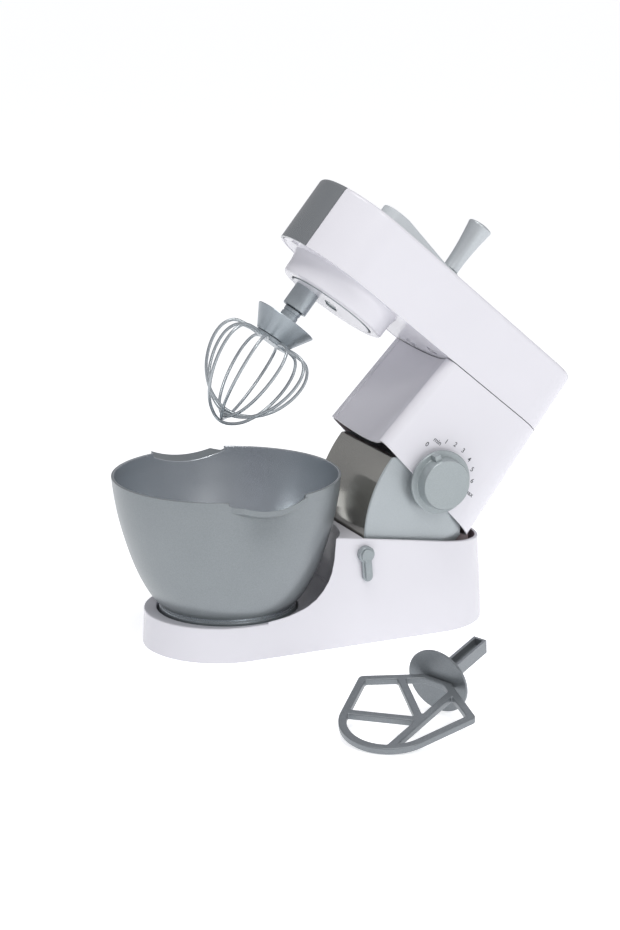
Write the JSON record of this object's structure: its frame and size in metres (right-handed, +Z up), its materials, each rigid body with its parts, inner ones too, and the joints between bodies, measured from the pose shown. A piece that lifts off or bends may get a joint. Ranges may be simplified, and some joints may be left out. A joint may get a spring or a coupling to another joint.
{
  "type": "toy stand mixer",
  "caption": "Hand-cranked toy stand mixer with tilting head, planetary whisk, lift-out bowl, speed dial, lock lever and a loose K-shaped beater.",
  "frame": {"origin": "on the floor under the bowl's axis", "axes": "+Z up, +X from the bowl towards the pillar, -Y the side with the dial and the lock lever"},
  "size_m": [0.334, 0.3376, 0.3197],
  "materials": {
    "white_abs": "glossy white moulded ABS",
    "silver_plastic": "satin silver-pigmented plastic",
    "dark_silver_plastic": "polished dark silver plastic",
    "drum_plastic": "smooth grey plastic",
    "pale_grey_plastic": "satin pale grey plastic",
    "beater_plastic": "satin dark grey plastic",
    "plain_acetal": "natural acetal",
    "steel": "zinc-plated steel",
    "foam": "matt black foam rubber"
  },
  "bodies": {
    "base": {"base_shell": "white_abs", "base_cover": "white_abs", "foot_pad_1": "foam", "foot_pad_2": "foam", "foot_pad_3": "foam", "foot_pad_4": "foam", "base_screw_1": "steel", "base_screw_2": "steel", "base_screw_3": "steel", "base_screw_4": "steel", "hinge_bracket": "plain_acetal", "bracket_screw_1": "steel", "bracket_screw_2": "steel", "pivot_axle": "steel", "axle_clip_1": "steel", "axle_clip_2": "steel"},
    "lever": {"lock_lever": "silver_plastic", "latch_pawl": "plain_acetal"},
    "bowl": {"bowl": "silver_plastic"},
    "head": {"pillar_shell": "white_abs", "head_shell": "white_abs", "nose_band": "dark_silver_plastic", "head_underside": "white_abs", "hinge_drum": "drum_plastic", "ring_gear": "plain_acetal", "crank_bush": "plain_acetal", "head_screw_1": "steel", "head_screw_2": "steel", "head_screw_3": "steel", "pillar_screw_1": "steel", "pillar_screw_2": "steel", "detent_spring": "steel"},
    "crank": {"crank_arm": "pale_grey_plastic", "crank_shaft": "plain_acetal", "carrier_disc": "white_abs", "carrier_screw": "steel", "knob_pin": "steel"},
    "knob": {"crank_knob": "silver_plastic"},
    "spindle": {"spindle_socket": "silver_plastic", "planet_gear": "plain_acetal", "spindle_clip": "steel"},
    "whisk": {"whisk_collar": "silver_plastic", "whisk_cap": "dark_silver_plastic", "whisk_wire_1": "silver_plastic", "whisk_wire_2": "silver_plastic", "whisk_wire_3": "silver_plastic", "whisk_wire_4": "silver_plastic", "whisk_wire_5": "silver_plastic"},
    "dial": {"dial_knob": "silver_plastic", "dial_axle": "plain_acetal", "click_wheel": "plain_acetal"},
    "beater": {"beater_blade": "beater_plastic", "beater_shaft": "beater_plastic"}
  },
  "joints": [
    {"name": "head_tilt", "type": "hinge", "parent": "base", "child": "head", "pos_m": [0.176, 0, 0.072], "axis": [0, 1, 0], "range_deg": [-39, 0]},
    {"name": "crank_spin", "type": "hinge", "parent": "head", "child": "crank", "pos_m": [0.11978, 0, 0.28224], "axis": [0.6293, 0, 0.7771], "continuous": true},
    {"name": "knob_spin", "type": "hinge", "parent": "crank", "child": "knob", "pos_m": [0.17899, 0, 0.26002], "axis": [0.6293, 0, 0.7771], "continuous": true},
    {"name": "spindle_spin", "type": "hinge", "parent": "crank", "child": "spindle", "pos_m": [0.06325, 0.01124, 0.23794], "axis": [0.6293, 0, 0.7771], "continuous": true},
    {"name": "whisk_pull", "type": "slide", "parent": "spindle", "child": "whisk", "axis": [-0.6157, 0, -0.788], "range_m": [0, 0.015]},
    {"name": "dial_turn", "type": "hinge", "parent": "head", "child": "dial", "pos_m": [0.1409, -0.046, 0.11097], "axis": [0, 1, 0], "range_deg": [0, 132]},
    {"name": "lever_turn", "type": "hinge", "parent": "base", "child": "lever", "pos_m": [0.0833, -0.0496, 0.0653], "axis": [0, 1, 0], "range_deg": [0, 45]},
    {"name": "bowl_lift", "type": "slide", "parent": "base", "child": "bowl", "axis": [0, 0, 1], "range_m": [0, 0.012]},
    {"name": "beater_lift", "type": "slide", "parent": "base", "child": "beater", "axis": [0, 0, 1], "range_m": [0, 0.02]}
  ],
  "couplings": [
    {"joint": "spindle_spin", "follows": "crank_spin", "ratio": -3}
  ]
}
